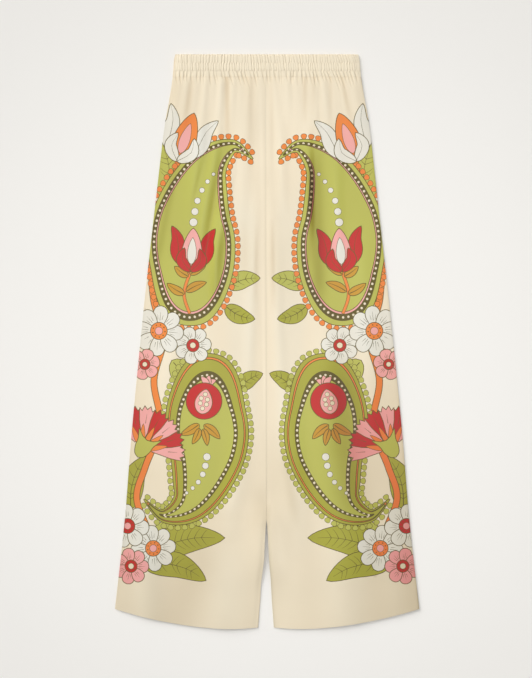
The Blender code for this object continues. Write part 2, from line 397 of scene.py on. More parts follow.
def carnation(u, v, heading, radius, names):
    """A fan of notched petals, in turn of each dye, that stands in a green cup."""
    count = 7
    for k in sorted(range(count), key=lambda k: -abs(k - (count - 1) / 2)):
        turn = heading + 128 * (k / (count - 1) - 0.5)
        flank = ((5, 0.25), (12, 0.70), (11, 0.96))
        left = [reach(u, v, turn - lean, radius * far) for lean, far in flank]
        right = [reach(u, v, turn + lean, radius * far) for lean, far in flank[::-1]]
        notches = ((-7.5, 0.90), (-4, 1.01), (0, 0.93), (4, 1.01), (7.5, 0.90))
        edge = [reach(u, v, turn + lean, radius * far) for lean, far in notches]
        inked(names[k % len(names)], left + edge + right)
        stroke(straight(u, v, turn, radius, (0.62, 0.72, 0.84)))
    for k in range(5):
        turn = heading + 26 * (k - 2)
        knots = straight(u, v, turn, radius, (0.12, 0.34, 0.60))
        inked("orange", blade(knots, radius * 0.11, pointed, 5), 0.0008)
    cup = ((-0.18, 0.0), (-0.12, 0.11), (0.04, 0.18), (0.20, 0.20), (0.40, 0.29))
    edge = smooth_path(reached(u, v, heading, radius, radius, cup), 5)
    low = smooth_path(reached(u, v, heading, radius, -radius, cup), 5)
    rim = reached(u, v, heading, radius, radius, ((0.29, 0.14), (0.25, 0.0), (0.29, -0.14)))
    inked("green", edge + rim + low[:0:-1])


def pomegranate(u, v, heading, radius):
    """A round fruit with a crown, opened to show its seeds."""
    crown = reach(u, v, heading, radius * 0.82)
    for lean in (-1, 0, 1):
        middle = reach(*crown, heading + lean * 28, radius * 0.30)
        knots = [crown, middle, reach(*crown, heading + lean * 42, radius * 0.62)]
        inked("pink", blade(knots, radius * 0.34, pointed, 6))
    inked("crimson", disc(u, v, radius, 36))
    knots = straight(u, v, heading, radius, (-0.72, 0.0, 0.66))
    inked("pink", blade(knots, radius * 0.95, pointed, 10))
    for height, count in ((-0.42, 1), (-0.16, 2), (0.12, 2), (0.38, 1)):
        for k in range(count):
            side = (k - (count - 1) / 2) * 0.36
            seed = reach(u, v, heading, height * radius, side * radius)
            inked("cream", disc(*seed, radius * 0.115, 14), 0.0007)


Leaf = namedtuple("Leaf", "u v heading length width bend name veins")
BACK_LEAVES = [Leaf(*row) for row in (
    (0.02, 0.24, 100, 0.12, 0.052, -0.1, "green", 6),
    (0.15, 0.375, 22, 0.062, 0.032, 0.1, "green", 4),
    (0.15, 0.41, -18, 0.058, 0.03, -0.1, "moss", 4),
    (0.04, 0.49, 150, 0.07, 0.036, 0.1, "moss", 4),
    (0.06, 0.52, -58, 0.09, 0.044, 0.1, "green", 5),
    (0.19, 0.56, 40, 0.052, 0.028, 0.1, "moss", 4),
    (0.03, 0.88, 48, 0.165, 0.06, -0.12, "green", 8),
    (0.04, 0.89, 20, 0.16, 0.056, 0.1, "moss", 8),
    (0.045, 0.9, -8, 0.12, 0.046, 0.12, "moss", 6),
    (0.01, 0.8, 80, 0.1, 0.044, 0.1, "moss", 5),
)]
GOLD_LEAVES = [Leaf(*row) for row in (
    (0.07, 0.395, 155, 0.036, 0.015, 0.05, "gold", 0),
    (0.074, 0.39, 30, 0.04, 0.015, 0.05, "gold", 0),
    (0.074, 0.362, 150, 0.03, 0.014, 0.05, "gold", 0),
    (0.078, 0.358, 35, 0.032, 0.014, 0.05, "gold", 0),
    (0.122, 0.632, 215, 0.038, 0.015, 0.05, "gold", 0),
    (0.132, 0.632, 325, 0.038, 0.015, 0.05, "gold", 0),
    (0.124, 0.64, 250, 0.03, 0.012, 0.05, "gold", 0),
    (0.131, 0.64, 290, 0.03, 0.012, 0.05, "gold", 0),
)]
Blossom = namedtuple("Blossom", "u v radius petals turn name eye heart")
BLOSSOMS = [Blossom(*row) for row in (
    (0.096, 0.488, 0.034, 7, 10, "white", "crimson", "cream"),
    (0.03, 0.468, 0.046, 8, 0, "white", "orange", "pink"),
    (0.01, 0.532, 0.028, 6, 20, "pink", "crimson", "cream"),
    (0.06, 0.868, 0.042, 8, 12, "white", "orange", "pink"),
    (0.008, 0.832, 0.04, 7, 0, "white", "crimson", "pink"),
    (0.022, 0.905, 0.033, 7, 5, "pink", "crimson", "cream"),
)]
VINE = [
    (0.030, 0.905), (0.050, 0.850), (0.020, 0.780), (0.030, 0.720), (0.050, 0.640), (0.030, 0.560),
    (0.040, 0.480), (0.014, 0.410), (0.004, 0.330), (0.012, 0.250), (0.030, 0.190), (0.034, 0.150),
]
UPPER_PAISLEY = [
    (0.080, 0.452), (0.080, 0.350), (0.070, 0.250), (0.088, 0.160), (0.132, 0.116), (0.172, 0.134),
]
LOWER_PAISLEY = [
    (0.132, 0.500), (0.132, 0.600), (0.142, 0.690), (0.122, 0.775), (0.074, 0.806), (0.034, 0.780),
]

for row in BACK_LEAVES:
    leaf(*row)
inked("orange", blade(VINE, 0.0105, even, 10))

layers = (("green", 1.0), ("olive", 0.905), ("pink", 0.815), ("green", 0.785))
paisley(UPPER_PAISLEY, 0.162, "orange", layers, 0.862, 0.0098)
spot_row([(0.074, 0.262), (0.076, 0.228), (0.086, 0.196), (0.102, 0.170)], 6, 0.0072, 0.42, "white")
inked("orange", blade([(0.084, 0.430), (0.070, 0.395), (0.078, 0.352)], 0.0048, even, 8), 0.0008)

layers = (("moss", 1.0), ("orange", 0.925), ("moss", 0.890), ("olive", 0.735), ("green", 0.650))
paisley(LOWER_PAISLEY, 0.154, "green", layers, 0.694, 0.0094)
spot_row([(0.143, 0.690), (0.140, 0.718), (0.129, 0.742), (0.112, 0.760)], 6, 0.0066, 0.42, "white")

for row in GOLD_LEAVES:
    leaf(*row)
tulip(0.078, 0.350, 92, 0.078, 0.072, "crimson", "pink", "white")
pomegranate(0.127, 0.588, 84, 0.033)
tulip(0.032, 0.150, 76, 0.092, 0.084, "white", "orange", "pink")
carnation(0.020, 0.690, 66, 0.080, ("pink", "crimson"))
for row in BLOSSOMS:
    blossom(*row)


def on_leg(u, v):
    """Across and below for a place of the print."""
    return (
        SIDE_START + v * math.sin(SIDE_LEAN) - u * math.cos(SIDE_LEAN),
        BAND_DEPTH + v * math.cos(SIDE_LEAN) + u * math.sin(SIDE_LEAN),
    )


def leg_outline(top, short, step):
    """A leg panel's outline, across and below, in points about a step apart."""
    count = round((LENGTH - top) / step)
    sides = {}
    for name, table in (("side", SIDE_EDGE), ("inner", INNER_EDGE)):
        low = LENGTH
        for _ in range(6):
            low = float(hem_below(read(table, low))) - short
        belows = np.linspace(top, low, count)
        sides[name] = list(zip(read(table, belows), belows))
    waist = round(float(read(SIDE_EDGE, top)) / step)
    left, right = sides["inner"][0][0], sides["side"][0][0]
    along_waist = [(left + (right - left) * k / waist, top) for k in range(1, waist)]
    left, right = sides["inner"][-1][0], sides["side"][-1][0]
    places = np.linspace(right, left, round((right - left) / step))[1:-1]
    along_hem = [(place, float(hem_below(place)) - short) for place in places]
    return along_waist + sides["side"] + along_hem + sides["inner"][::-1]


def painted_shade_scale(depth, warmth):
    """What a dye is scaled by under painted shade of this depth: darker and warmer, most so in the folds.
    """
    return 1 - np.asarray(depth)[..., None] * np.array((1.00 - 0.35 * warmth, 1.0, 1.12 + 0.32 * warmth))


SQUEEZE = 0.5          # the cloth's points lie twice as far apart down the leg as across it


def inside_points(top, short, pitches, crowd):
    """Points over a leg panel: rows down it, each at its own pitch, crowded beside both edges."""
    points = []
    below, odd = top, False
    while below < LENGTH:
        pitch = pitches(below - top)
        below += pitch * 0.87 / SQUEEZE
        odd = not odd
        inner, side = float(read(INNER_EDGE, below)), float(read(SIDE_EDGE, below))
        first = inner + crowd[-1] + (0.5 if odd else 1.0) * pitch
        plain = np.arange(first, side - crowd[-1] - pitch * 0.4, pitch)
        row = [inner + c for c in crowd] + list(plain) + [side - c for c in crowd]
        points += [(a, below) for a in row if hem_below(a) - short - below > 0.0004]
    return points


def turned_left(outline):
    """The outline in the order that runs anticlockwise."""
    return outline if turn_of(outline) > 0 else outline[::-1]


def holds(outline, across, below):
    """Whether a place lies inside an outline."""
    inside = False
    for a, b in sides_of(outline):
        if (a[1] > below) != (b[1] > below):
            inside ^= across < a[0] + (b[0] - a[0]) * (below - a[1]) / (b[1] - a[1])
    return inside


Weave = namedtuple("Weave", "across below triangles dyes")


def woven(outline, points):
    """A leg panel laid flat: its outline, the print and the points over it, joined by triangles
    that each take the dye of the uppermost form."""
    forms = [turned_left([on_leg(u, v) for u, v in form]) for _, form in print_forms]
    places = turned_left(outline)
    rings = [list(range(len(outline)))]
    for form in forms:
        rings.append(list(range(len(places), len(places) + len(form))))
        places += form
    near = kdtree.KDTree(len(places))
    for i, place in enumerate(places):
        near.insert((*place, 0.0), i)
    near.balance()
    places += [p for p in points if near.find((*p, 0.0))[2] > 0.0007]
    squeezed = [Vector((across, below * SQUEEZE)) for across, below in places]
    found = delaunay_2d_cdt(squeezed, [], rings, 0, 0.000005, True)
    corners, triangles, belongs = found[0], found[2], found[5]
    names = ["ground"] + [name for name, _ in print_forms]
    kept, dyes = [], []
    for triangle, forms_here in zip(triangles, belongs):
        if 0 in forms_here:
            across = sum(corners[i].x for i in triangle) / 3
            below = sum(corners[i].y for i in triangle) / 3 / SQUEEZE
            upper_first = sorted(forms_here, reverse=True)
            form = next(i for i in upper_first if i == 0 or holds(forms[i - 1], across, below))
            kept.append(triangle)
            dyes.append(names[form])
    return Weave(
        across=np.array([c.x for c in corners]),
        below=np.array([c.y for c in corners]) / SQUEEZE,
        triangles=kept,
        dyes=dyes,
    )


def paleness(dye):
    """How little of each of red, green and blue a dye has, beside the ground's own share of it."""
    ground = np.array(DYES["ground"]) / max(DYES["ground"])
    return np.clip(ground - np.array(DYES[dye]) / max(DYES[dye]), 0.0, 1.0)


def printed_sheet(name, leg, weave, heights, painted_shade_and_tint):
    """A leg panel at its heights, with the print under its painted shade as a colour on its faces'
    corners.
    Painted shade deepens a strong dye most in what it has least of."""
    bm = bmesh.new()
    aside = CROTCH_ASIDE * ease(0.20, 0.84, weave.below) * (1 - 0.7 * ease(0.925, 0.985, weave.below))
    x = read(LIE[leg], weave.below) * leg * weave.across + aside * bell(weave.across / 0.060)
    for place in zip(x, LENGTH / 2 - weave.below, heights):
        bm.verts.new(place)
    bm.verts.ensure_lookup_table()
    # The dye colour holds the print's dye times its painted shade and tint.
    colour = bm.loops.layers.float_color.new("dye")
    # How strongly painted shade deepens each dye, in each of red, green and blue.
    shade_strengths = {dye: 1 + 1.2 * paleness(dye) for dye in DYES}
    for triangle, dye in zip(weave.triangles, weave.dyes):
        ring = triangle if leg < 0 else triangle[::-1]
        face = bm.faces.new([bm.verts[i] for i in ring])
        face.smooth = True
        for loop, i in zip(face.loops, ring):
            # Each dye under the painted shade and tint worked out for this point.
            loop[colour] = (*(DYES[dye] * painted_shade_and_tint[i] ** shade_strengths[dye]), 1.0)
    loose = [v for v in bm.verts if not v.link_faces]
    bmesh.ops.delete(bm, geom=loose, context="VERTS")
    for edge in bm.edges:
        edge.smooth = not edge.is_boundary
    return new_piece(name, bm)


def placed(name, data):
    """An object of this data in the scene, at the origin."""
    thing = bpy.data.objects.new(name, data)
    bpy.context.scene.collection.objects.link(thing)
    return thing


def new_piece(name, bm):
    """An object of this mesh at the origin."""
    mesh = bpy.data.meshes.new(name)
    bm.to_mesh(mesh)
    bm.free()
    return placed(name, mesh)


def add_thickness(piece, thickness):
    """Gives a sheet its wall, inwards from the side that its faces look to."""
    wall = piece.modifiers.new("wall", "SOLIDIFY")
    wall.thickness = thickness
    wall.offset = -1.0
    return wall


def set_inputs(node, **values):
    """Sets a node's inputs, each named with _ for a space."""
    for name, value in values.items():
        node.inputs[name.replace("_", " ")].default_value = value


def cloth_material(name):
    """Satin-faced twill: a soft sheen, fine diagonal ribs and a faint unevenness of the dye."""
    material = bpy.data.materials.new(name)
    material.use_nodes = True
    nodes, links = material.node_tree.nodes, material.node_tree.links
    shader = nodes["Principled BSDF"]
    set_inputs(shader, Roughness=0.40, Specular_IOR_Level=0.30, Sheen_Weight=0.20, Sheen_Roughness=0.45)
    place = nodes.new("ShaderNodeTexCoord")
    # The dye colour carries the print with its painted shade.
    colour = nodes.new("ShaderNodeAttribute")
    colour.attribute_name = "dye"
    cloud = nodes.new("ShaderNodeTexNoise")
    set_inputs(cloud, Scale=14.0, Detail=3.0)
    links.new(place.outputs["Object"], cloud.inputs["Vector"])
    strength = nodes.new("ShaderNodeMapRange")
    set_inputs(strength, To_Min=0.975, To_Max=1.025)
    links.new(cloud.outputs["Fac"], strength.inputs["Value"])
    shade = nodes.new("ShaderNodeVectorMath")
    shade.operation = "SCALE"
    links.new(colour.outputs["Color"], shade.inputs[0])
    links.new(strength.outputs["Result"], shade.inputs["Scale"])
    links.new(shade.outputs["Vector"], shader.inputs["Base Color"])
    ribs = nodes.new("ShaderNodeTexWave")
    ribs.wave_type = "BANDS"
    ribs.bands_direction = "DIAGONAL"
    set_inputs(ribs, Scale=420.0, Distortion=1.2, Detail=1.0)
    links.new(place.outputs["Object"], ribs.inputs["Vector"])
    bump = nodes.new("ShaderNodeBump")
    set_inputs(bump, Strength=0.06, Distance=0.0002)
    links.new(ribs.outputs["Fac"], bump.inputs["Height"])
    links.new(bump.outputs["Normal"], shader.inputs["Normal"])
    return material


leg_cloth = cloth_material("leg_cloth")
SEAM_TOP = BAND_DEPTH + SEAM_GAP

back_weave = woven(
    leg_outline(SEAM_TOP, BACK_HEM_SHORT, 0.006),
    inside_points(SEAM_TOP, BACK_HEM_SHORT, lambda drop: 0.012, (0.003,)),
)
for leg, side in ((-1, "right"), (1, "left")):
    flat = np.full_like(back_weave.across, BACK_LIE)
    back = printed_sheet(f"back_cloth_{side}", leg, back_weave, flat, painted_shade_scale(0 * flat, 0))
    add_thickness(back, CLOTH)
    back.data.materials.append(leg_cloth)
    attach(back, "root")
    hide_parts(f"back_leg_{side}")

# ----------------------------------------------
# Front legs: two panels of the same printed cloth, gathered into the waistband. Soft folds fall
# from the gathers, and each panel is turned over a rounded edge at its side and inside leg.
# ----------------------------------------------

FRONT_LIE = 0.0029     # lowest lie of the front cloth's upper side
EDGE_LIE = 0.0026      # height of its rolled edges
SIDE_ROLL = 0.0050
INSEAM_ROLL = 0.0032
SEAM_DIP = 0.0100      # the folds fade over this width beside the centre seam
SEAM_SHARE = 0.15      # and keep this share of their height at it
SIDE_DIP = 0.0160      # the folds fade out over this width beside the side edge
PUFF = 0.0032          # how much the cloth stands up just below the waistband
PUFF_LENGTH = 0.16
HEM_LIFT = 0.0012      # how much the turned-up hem stands up
INSEAM_LIFT = {-1: 0.0016, 1: 0.0038}   # and the bulky inside-leg seams, where the legs part
CROTCH_LIFT = {-1: 0.0046, 1: 0.0028}   # and the crotch, where four seams meet
HEM_LIE = {-1: 0.0012, 1: 0.0020}       # height of the inside-leg edges at the hem

WaistFold = namedtuple("WaistFold", "leg place length height")
WAIST_FOLDS = [WaistFold(*row) for row in (
    (-1, 0.075, 0.14, 0.0006), (-1, 0.18, 0.2, 0.001), (-1, 0.265, 0.09, 0.0005),
    (-1, 0.35, 0.13, 0.0009), (-1, 0.475, 0.26, 0.0014), (-1, 0.56, 0.08, 0.0005),
    (-1, 0.64, 0.23, 0.0013), (-1, 0.735, 0.1, 0.0006), (-1, 0.84, 0.13, 0.0011),
    (1, 0.085, 0.12, 0.0008), (1, 0.165, 0.08, 0.0005), (1, 0.225, 0.11, 0.0009),
    (1, 0.315, 0.16, 0.0006), (1, 0.4, 0.09, 0.0005), (1, 0.495, 0.15, 0.0008),
    (1, 0.6, 0.23, 0.0011), (1, 0.7, 0.1, 0.0006), (1, 0.79, 0.14, 0.001),
    (1, 0.89, 0.08, 0.0005),
)]
WAIST_FOLD_HALF = 0.0085
WAIST_FOLD_SPREAD = 0.040
WAIST_FOLD_START = 0.45
WAIST_FOLD_SWELL = 0.014

FOLD_SHARE = 1.2       # the thin cloth folds a little deeper than its heights below
Fold = namedtuple("Fold", "leg across_1 below_1 across_2 below_2 half height")
FOLDS = [Fold(*row) for row in (
    (-1, 0.046, 0.06, 0.044, 0.36, 0.017, 0.0014),
    (-1, 0.054, 0.15, 0.096, 0.4, 0.011, 0.002),
    (-1, 0.086, 0.12, 0.13, 0.38, 0.012, 0.0019),
    (-1, 0.09, 0.29, 0.096, 0.48, 0.011, 0.0021),
    (-1, 0.124, 0.11, 0.14, 0.33, 0.019, 0.0022),
    (-1, 0.018, 0.23, 0.038, 0.66, 0.016, 0.0016),
    (-1, 0.038, 0.62, 0.072, 0.9, 0.026, 0.0026),
    (-1, 0.158, 0.33, 0.205, 0.78, 0.03, 0.0022),
    (-1, 0.112, 0.42, 0.12, 0.86, 0.034, 0.0016),
    (-1, 0.24, 0.78, 0.215, 1.11, 0.036, 0.0032),
    (-1, 0.07, 0.86, 0.082, 1.11, 0.046, 0.0024),
    (1, 0.026, 0.1, 0.032, 0.3, 0.012, 0.0012),
    (1, 0.082, 0.09, 0.08, 0.4, 0.016, 0.0019),
    (1, 0.128, 0.15, 0.134, 0.43, 0.014, 0.0014),
    (1, 0.003, 0.24, 0.032, 0.7, 0.016, 0.0015),
    (1, 0.036, 0.6, 0.066, 0.93, 0.028, 0.0026),
    (1, 0.172, 0.3, 0.196, 0.74, 0.03, 0.0022),
    (1, 0.104, 0.44, 0.118, 0.88, 0.032, 0.0016),
    (1, 0.145, 0.74, 0.15, 1.11, 0.05, 0.0036),
    (1, 0.225, 0.78, 0.245, 1.08, 0.03, 0.0012),
)]


def waist_fold_rise(leg, across, below):
    """Height of the soft folds that fall from the gathers."""
    drop = below - BAND_DEPTH
    width = read(SIDE_EDGE, below)
    rise = np.zeros_like(across)
    start = WAIST_FOLD_START + (1 - WAIST_FOLD_START) * ease(0.0, WAIST_FOLD_SWELL, drop)
    half = WAIST_FOLD_HALF + WAIST_FOLD_SPREAD * drop
    for fold in WAIST_FOLDS:
        if fold.leg == leg:
            offset = (across - fold.place * width) / half
            fade = 1 - ease(0.2, 1.0, drop / fold.length)
            rise += fold.height * start * fade * np.exp(-2.0 * offset * offset)
    return rise


def beside(row, across, below):
    """The share of the way along a row's line, and the offset from the line in its half widths."""
    along = np.clip((below - row.below_1) / (row.below_2 - row.below_1), 0.0, 1.0)
    return along, (across - row.across_1 - (row.across_2 - row.across_1) * along) / row.half


def fold_rise(leg, across, below):
    """Height of the larger folds, each a soft ridge that fades at both ends."""
    rise = np.zeros_like(across)
    for fold in FOLDS:
        if fold.leg == leg:
            along, offset = beside(fold, across, below)
            fade = np.sin(np.pi * along) ** 0.8
            rise += fold.height * fade * np.exp(-1.6 * offset * offset)
    return FOLD_SHARE * rise


BAND_HALF = 0.1735     # half the waistband's width, laid flat
Channel = namedtuple("Channel", "top bottom gathers depth lean crest")
CHANNELS = [
    Channel(0.0000, 0.0157, 64, 0.00068, 0.10, 0.48),
    Channel(0.0157, 0.0300, 76, 0.00065, 0.05, 0.48),
    Channel(0.0300, BAND_DEPTH, 47, 0.00112, 0.16, 0.30),
]
# How far the middle gathers lie towards the wearer's left, as a share of half the waistband.
GATHERS_ASIDE = 0.05
Gather = namedtuple("Gather", "place depth half lean reach crest")


def uneven_gathers(channel, seed):
    """A channel's gathers: narrow troughs, no two alike in place, depth, width, lean or length."""
    chance = np.random.default_rng(seed)
    count = channel.gathers
    pitch = 2 * BAND_HALF / count
    place = -BAND_HALF + pitch * (np.arange(count) + 0.5 + chance.uniform(-0.24, 0.24, count))
    place += GATHERS_ASIDE * (BAND_HALF - place * place / BAND_HALF)
    sway = np.sin(place * chance.uniform(28.0, 40.0) + chance.uniform(0.0, 6.0))
    return Gather(
        place=place,
        depth=channel.depth * chance.uniform(0.55, 1.45, count),
        half=pitch * chance.uniform(0.17, 0.29, count),
        lean=channel.lean * (1 + 0.9 * sway) + chance.normal(0.0, 0.04, count),
        reach=chance.uniform(0.005, 0.026, count) * (1 + 0.35 * place / BAND_HALF),
        crest=channel.crest,
    )


FRONT_GATHERS = [uneven_gathers(channel, 11 + i) for i, channel in enumerate(CHANNELS)]
BACK_GATHERS = [uneven_gathers(channel, 21 + i) for i, channel in enumerate(CHANNELS)]


def gather_drop(gathers, x, from_middle, along, narrowing=0.0):
    """How far the cloth drops into the gathers at places x, this far down from the middle of the
    channel, each scaled by its share in along. A low crest stands beside each trough."""
    slid = x[:, None] - gathers.lean * np.reshape(from_middle, (-1, 1))
    offset = (slid - gathers.place) / (gathers.half * (1 - narrowing))
    crest = gathers.crest * bell((offset + 1.7) / 0.7)
    return (gathers.depth * along * (bell(offset) - crest)).sum(axis=-1)


def rolled(height, distance, width, lie=EDGE_LIE):
    """The height near a rolled edge: a quarter round that drops to the edge's own lie."""
    turn = np.clip(1 - distance / width, 0.0, 1.0)
    return lie + (height - lie) * np.sqrt(np.maximum(1 - turn * turn, 0.0))


GATHERS_END = 0.036    # below the seam, past the longest gather


def seam_gathers(leg, across, below):
    """How far the waistband's lowest gathers run on into the leg, each to its own length."""
    gathers = FRONT_GATHERS[2]
    drop = below - BAND_DEPTH
    near = drop < GATHERS_END
    from_middle = drop[near] + (CHANNELS[2].bottom - CHANNELS[2].top) / 2
    x = leg * across[near] * BAND_HALF / float(read(SIDE_EDGE, BAND_DEPTH))
    along = np.clip(1 - drop[near][:, None] / gathers.reach, 0.0, 1.0)
    sunk = np.zeros_like(across)
    sunk[near] = gather_drop(gathers, x, from_middle, along, 0.4 * (1 - along))
    return sunk


Streak = namedtuple("Streak", "place lean half start length height")


def uneven_streaks(count, seed):
    """Fine soft ripples that hang from the gathers down the leg, at shares of its width."""
    chance = np.random.default_rng(seed)
    return Streak(
        place=(np.arange(count) + chance.uniform(0.1, 0.9, count)) / count,
        lean=chance.normal(0.0, 0.03, count),
        half=chance.uniform(0.0036, 0.0080, count),
        start=chance.uniform(-0.06, 0.05, count),
        length=chance.uniform(0.10, 0.34, count) * chance.uniform(0.5, 1.0, count),
        height=chance.uniform(0.00010, 0.00030, count),
    )


STREAKS = {-1: uneven_streaks(26, 31), 1: uneven_streaks(26, 32)}


def streak_rise(leg, across, below):
    """Height of the fine ripples."""
    streaks = STREAKS[leg]
    drop = (below - BAND_DEPTH)[:, None]
    share = (across / read(SIDE_EDGE, below))[:, None]
    width = read(SIDE_EDGE, below)[:, None]
    offset = (share - streaks.place) * width - streaks.lean * drop
    along = np.clip((drop - streaks.start) / streaks.length, 0.0, 1.0)
    fade = np.sin(np.pi * along) ** 0.7
    half = streaks.half * (1 + 1.5 * drop)
    return (streaks.height * fade * bell(offset / half)).sum(axis=-1)


# Sharper creases: each sinks into the cloth by its depth, and shade is the painted shade on one of its
# walls.
Crease = namedtuple("Crease", "leg across_1 below_1 across_2 below_2 half depth shade")
CREASES = [Crease(*row) for row in (
    (-1, 0.0714, -0.06, 0.0684, 0.19, 0.005, 0.0005, 0.13),
    (-1, 0.0255, -0.06, 0.023, 0.22, 0.01, 0.0001, 0.06),
    (-1, 0.135, 0.04, 0.15, 0.135, 0.006, 0.0002, 0.1),
    (-1, 0.0815, 0.18, 0.1165, 0.4, 0.0065, 0.0013, 0.09),
    (-1, 0.118, 0.195, 0.14, 0.3, 0.005, 0.0007, 0.07),
    (-1, 0.035, 0.3, 0.03, 0.44, 0.01, 0.0005, 0.06),
    (-1, 0.014, 0.31, 0.016, 0.46, 0.005, 0.0005, 0.06),
    (1, 0.0745, -0.04, 0.0745, 0.13, 0.0045, 0.0005, 0.085),
    (1, 0.0905, -0.02, 0.089, 0.115, 0.004, 0.0003, 0.05),
    (1, 0.123, -0.02, 0.1215, 0.125, 0.0045, 0.0003, 0.045),
    (1, 0.137, 0.02, 0.161, 0.13, 0.005, 0.0005, 0.08),
    (1, 0.0125, 0.0, 0.015, 0.22, 0.0045, 0.0003, 0.045),
    (1, 0.088, 0.13, 0.089, 0.4, 0.006, 0.0013, 0.15),
    (1, 0.081, 0.31, 0.08, 0.43, 0.005, 0.0008, 0.09),
    (1, 0.0145, 0.3, 0.017, 0.48, 0.0055, 0.0008, 0.09),
)]


def crease_shares(crease, across, below):
    """How near places lie to a crease, from 0 to 1: to its bottom, and to the wall that takes painted
    shade.
    """
    along, offset = beside(crease, across, below)
    fade = np.sin(np.pi * along) ** 0.8
    wall = offset + 0.6 * crease.leg
    return fade * bell(offset), fade * bell(wall)


def crease_drop(leg, across, below):
    """How far the sharper creases sink into the front cloth."""
    drop = sum(c.depth * crease_shares(c, across, below)[0] for c in CREASES if c.leg == leg)
    return np.minimum(drop, 0.0018)


def cloth_rise(leg, across, below):
    """Height of the folds and ripples together."""
    short = waist_fold_rise(leg, across, below)
    return short + fold_rise(leg, across, below) + streak_rise(leg, across, below)


def front_height(leg, across, below):
    """Height of the front cloth's upper side."""
    from_side = read(SIDE_EDGE, below) - across
    from_inner = across - read(INNER_EDGE, below)
    drop = below - BAND_DEPTH
    folds = cloth_rise(leg, across, below)
    puff = PUFF * (1 - ease(0.0, PUFF_LENGTH, drop))
    seam_calm = SEAM_SHARE + (1 - SEAM_SHARE) * ease(0.0, SEAM_DIP, from_inner)
    side_calm = ease(0.0, SIDE_DIP, from_side)
    side_puff = 1 - (1 - side_calm) * (0.5 + 0.5 * ease(0.0, 0.05, drop))
    creases = crease_drop(leg, across, below)
    height = FRONT_LIE + (folds - creases) * seam_calm * side_calm + puff * side_puff
    height += HEM_LIFT * (1 - ease(0.0, 0.07, hem_below(across) - below)) * ease(0.0, 0.030, from_inner)
    height -= seam_gathers(leg, across, below) * ease(0.0, 0.006, from_side)
    height -= 0.00003 * (1 - ease(0.0, 0.0020, from_inner))
    parting = ease(0.80, 0.87, below)
    lift = INSEAM_LIFT[leg] * (1 - ease(0.935, 1.02, below))
    height += lift * parting * bell(from_inner / 0.040)
    sink = 0.0011 * parting * (1 - 0.6 * ease(0.95, 1.05, below))
    height -= sink * (1 - ease(0.0, 0.014, from_inner)) ** 2
    crotch = CROTCH_LIFT[leg] * ease(0.82, 0.865, below) * (1 - ease(0.910, 0.990, below))
    height += crotch * bell(from_inner / 0.030)
    edge_lie = HEM_LIE[leg] + (EDGE_LIE - HEM_LIE[leg]) * (1 - ease(0.90, 1.02, below))
    edge_lie = edge_lie + lift + crotch
    inner_roll = np.minimum(rolled(height, from_inner, INSEAM_ROLL, edge_lie), height)
    height += (inner_roll - height) * ease(0.85, 0.87, below)
    return rolled(height, from_side, SIDE_ROLL)


# Soft bands of painted shade down the legs, and of painted highlight where the depth is negative.
Shade = namedtuple("Shade", "leg across_1 below_1 across_2 below_2 half soft depth")
SHADES = [Shade(*row) for row in (
    (-1, 0.15, 0.04, 0.155, 0.13, 0.022, 0.03, 0.03),
    (-1, 0.167, 0.045, 0.174, 0.1, 0.009, 0.02, 0.06),
    (-1, 0.17, 0.213, 0.204, 0.385, 0.0075, 0.03, 0.16),
    (-1, 0.082, 0.335, 0.096, 0.455, 0.01, 0.03, 0.14),
    (-1, 0.015, 0.33, 0.015, 0.44, 0.03, 0.05, 0.03),
    (-1, 0.02, 0.72, 0.02, 0.86, 0.05, 0.05, 0.03),
    (-1, 0.003, 0.845, 0.003, 0.868, 0.005, 0.008, 0.03),
    (-1, 0.01, 0.805, 0.013, 0.865, 0.014, 0.025, 0.078),
    (-1, 0.1, 0.88, 0.26, 1.24, 0.052, 0.08, 0.125),
    (-1, 0.21, 0.93, 0.216, 1.24, 0.024, 0.05, 0.06),
    (-1, 0.24, 0.62, 0.276, 1.24, 0.04, 0.18, 0.05),
    (-1, 0.08, 0.96, 0.08, 1.24, 0.02, 0.04, 0.022),
    (-1, 0.085, 0.06, 0.085, 0.15, 0.012, 0.04, -0.035),
    (-1, 0.03, 0.15, 0.03, 0.22, 0.03, 0.04, -0.03),
    (-1, 0.009, 0.04, 0.003, 0.66, 0.0036, 0.05, -0.048),
    (1, 0.03, 0.06, 0.03, 0.2, 0.045, 0.05, -0.045),
    (1, 0.168, 0.03, 0.176, 0.12, 0.014, 0.03, -0.04),
    (1, 0.0835, 0.205, 0.085, 0.32, 0.006, 0.035, 0.26),
    (1, 0.089, 0.19, 0.099, 0.45, 0.013, 0.04, 0.26),
    (1, 0.137, 0.585, 0.155, 0.85, 0.034, 0.05, 0.25),
    (1, 0.025, 0.33, 0.025, 0.46, 0.03, 0.05, 0.04),
    (1, 0.03, 0.72, 0.03, 0.86, 0.05, 0.05, 0.058),
    (1, 0.003, 0.832, 0.003, 0.868, 0.005, 0.01, 0.075),
    (1, 0.036, 0.74, 0.054, 0.858, 0.011, 0.03, 0.115),
    (1, 0.022, 0.855, 0.027, 0.95, 0.013, 0.03, -0.088),
    (1, 0.048, 0.905, 0.048, 1.0, 0.02, 0.03, -0.028),
    (1, 0.038, 0.91, 0.04, 1.24, 0.028, 0.03, -0.045),
    (1, 0.15, 0.9, 0.16, 1.24, 0.04, 0.05, 0.055),
    (1, 0.195, 0.58, 0.243, 1.24, 0.06, 0.2, 0.138),
    (1, 0.27, 0.58, 0.318, 1.24, 0.046, 0.2, 0.2),
)]


